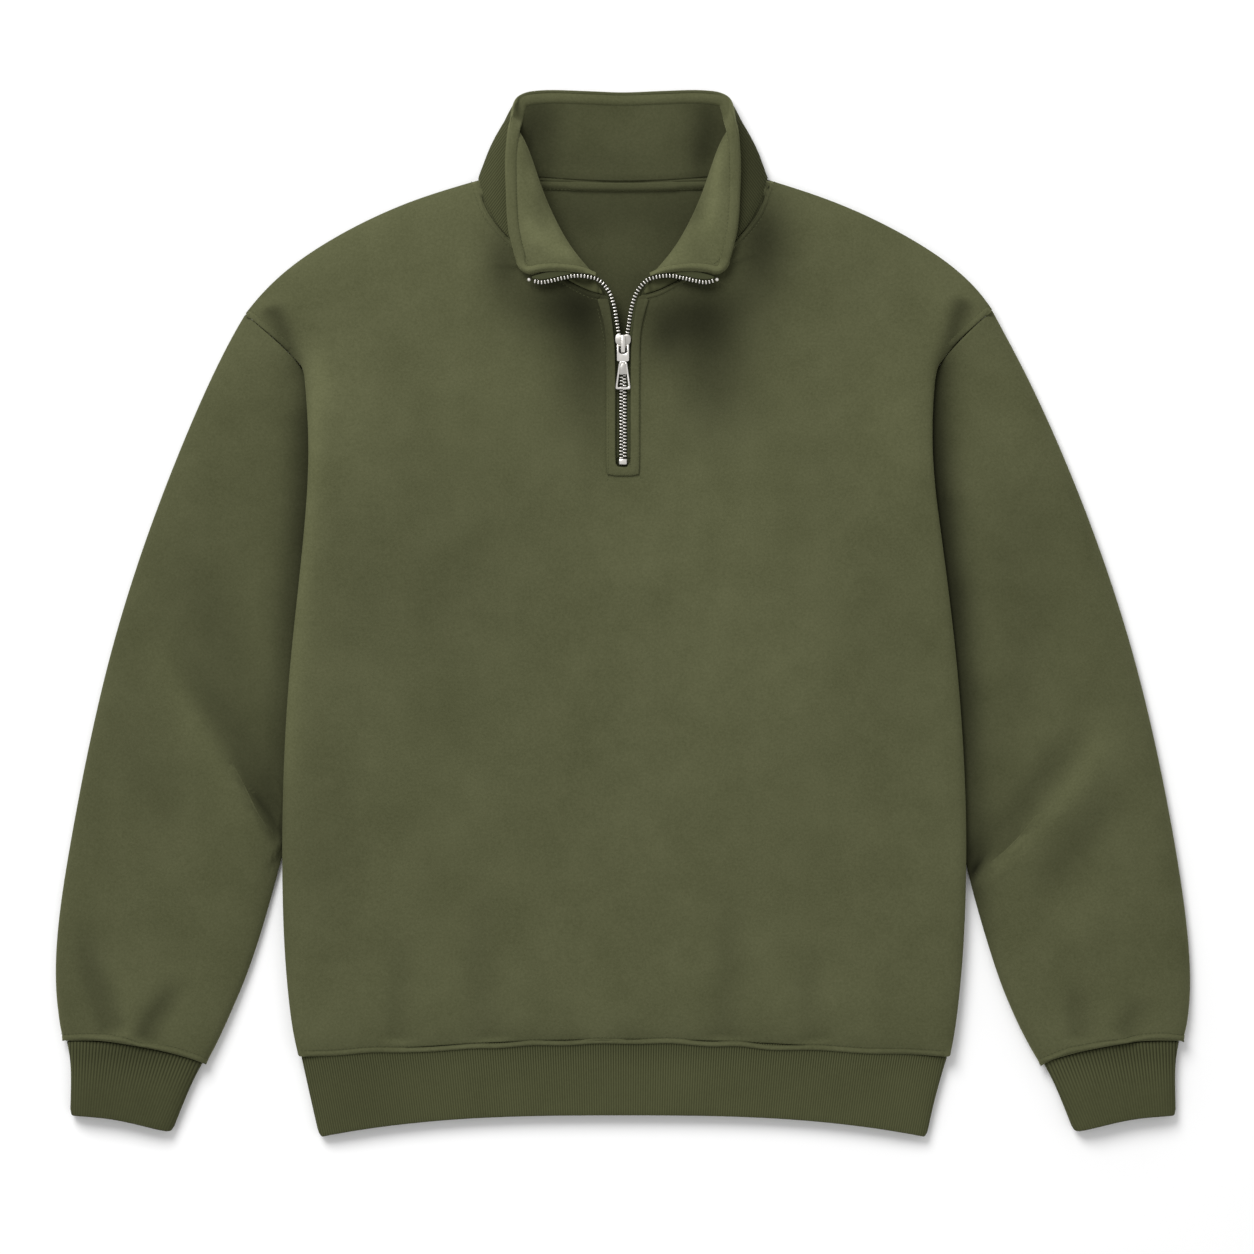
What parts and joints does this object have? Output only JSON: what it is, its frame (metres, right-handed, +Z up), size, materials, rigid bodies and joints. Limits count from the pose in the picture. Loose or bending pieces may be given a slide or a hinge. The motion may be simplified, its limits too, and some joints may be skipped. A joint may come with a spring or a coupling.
{
  "type": "half zip sweatshirt",
  "caption": "Half zip sweatshirt in brushed fleece, laid flat with its sleeves at its sides: open turned-down rib collar, short metal zip, rib cuffs and rib hem band.",
  "frame": {"origin": "on the floor under the middle of the laid-out garment's outline", "axes": "+X from the wearer's right sleeve to the left one, +Y from the hem to the collar, +Z up from the floor through the front"},
  "size_m": [0.8532, 0.784, 0.0275],
  "materials": {
    "fleece": "matte brushed fleece, dark olive",
    "rib": "matte rib knit, darker olive",
    "facing": "matte plain knit, dark olive",
    "tape": "matte woven tape, very dark olive",
    "zip_metal": "polished silver nickel"
  },
  "bodies": {
    "garment": {"back_panel": "fleece", "front_panel": "fleece", "sleeve_left": "fleece", "sleeve_right": "fleece", "cuff_left": "rib", "cuff_right": "rib", "hem_band": "rib", "collar_outer": "rib", "collar_inner": "facing", "neck_tape": "facing", "zip_placket": "fleece", "zip_tape_left": "tape", "zip_tape_right": "tape", "zip_teeth_left": "zip_metal", "zip_teeth_right": "zip_metal", "zip_slider": "zip_metal", "zip_bottom_stop": "zip_metal", "zip_top_stop_left": "zip_metal", "zip_top_stop_right": "zip_metal"},
    "pull": {"zip_pull": "zip_metal"}
  },
  "joints": [
    {"name": "pull_swing", "type": "hinge", "parent": "garment", "child": "pull", "pos_m": [0.00045, 0.2012, 0.01867], "axis": [-1, 0, 0], "range_deg": [0, 150]}
  ]
}
